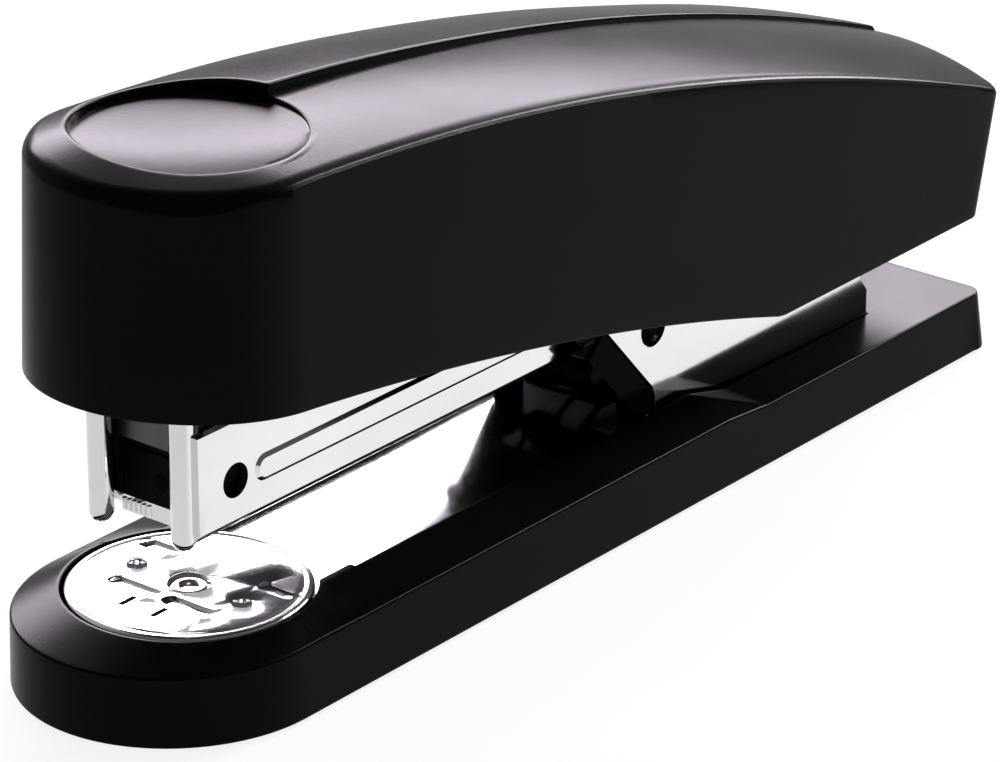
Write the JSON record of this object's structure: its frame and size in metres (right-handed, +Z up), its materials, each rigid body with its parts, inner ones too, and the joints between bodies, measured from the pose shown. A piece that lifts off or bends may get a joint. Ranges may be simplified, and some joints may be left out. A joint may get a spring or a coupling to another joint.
{
  "type": "desk stapler",
  "caption": "Desk stapler: weighted plastic base with a turning anvil, hinged steel magazine with a sprung pusher, and a hollow arched cover that is the handle.",
  "frame": {"origin": "on the table under the middle of the base's length at deck level, on the centre line", "axes": "+X along the stapler from the anvil end to the hinge end, +Y across it, +Z up"},
  "size_m": [0.1527, 0.0368, 0.064],
  "materials": {
    "black_plastic": "satin moulded black plastic with a fine grain",
    "sole_rubber": "matt",
    "chrome_steel": "bright nickel plated sheet steel",
    "plain_steel": "plain drawn steel",
    "blade_steel": "hardened grey steel",
    "spring_steel": "drawn spring wire",
    "black_steel": "glossy black stove enamel",
    "nickel_brass": "bright",
    "inner_plastic": "matt moulded black plastic"
  },
  "bodies": {
    "base": {"base_shell": "black_plastic", "base_sole": "sole_rubber", "hinge_frame": "chrome_steel", "frame_screws": "plain_steel", "pivot_pin": "plain_steel", "pivot_ring": "plain_steel", "bracket_pin": "black_steel", "lift_spring": "black_steel", "anvil_spring": "spring_steel"},
    "lift_bracket": {"lift_bracket": "black_steel"},
    "anvil_lifter": {"anvil_button": "inner_plastic"},
    "anvil": {"anvil_disc": "chrome_steel", "anvil_rivet": "nickel_brass"},
    "magazine": {"magazine_channel": "chrome_steel", "staple_rail": "black_steel", "rail_rivets": "plain_steel", "pusher_rod": "black_steel", "pusher_spring": "spring_steel"},
    "pusher": {"staple_pusher": "inner_plastic"},
    "handle": {"handle_arm": "plain_steel", "driver_blade": "blade_steel", "blade_rivets": "plain_steel", "return_spring": "spring_steel", "cover_shell": "black_plastic", "cover_clips": "spring_steel"}
  },
  "joints": [
    {"name": "magazine_pivot", "type": "hinge", "parent": "base", "child": "magazine", "pos_m": [0.0637, 0, 0.021], "axis": [0, 1, 0], "range_deg": [-3.7, 0], "stiffness_Nm_per_rad": 1.5, "springref_deg": 8.02},
    {"name": "handle_pivot", "type": "hinge", "parent": "magazine", "child": "handle", "pos_m": [0.0637, 0, 0.021], "axis": [0, 1, 0], "range_deg": [-4.4, 80], "deforming": ["return_spring"]},
    {"name": "bracket_pivot", "type": "hinge", "parent": "base", "child": "lift_bracket", "pos_m": [0.0132, 0, 0.0117], "axis": [0, 1, 0], "range_deg": [-25, 0], "deforming": ["lift_spring"]},
    {"name": "pusher_slide", "type": "slide", "parent": "magazine", "child": "pusher", "axis": [1, 0, 0], "range_m": [0, 0.05], "stiffness_N_per_m": 20, "springref_m": -0.05, "deforming": ["pusher_spring"]},
    {"name": "anvil_lift", "type": "slide", "parent": "base", "child": "anvil_lifter", "axis": [0, 0, 1], "range_m": [0, 0.0015], "stiffness_N_per_m": 300, "springref_m": -0.002, "deforming": ["anvil_spring"]},
    {"name": "anvil_turn", "type": "hinge", "parent": "anvil_lifter", "child": "anvil", "pos_m": [-0.0541, 0, 0.0104], "axis": [0, 0, 1], "continuous": true}
  ],
  "couplings": [
    {"joint": "bracket_pivot", "follows": "magazine_pivot", "ratio": 6.1}
  ]
}
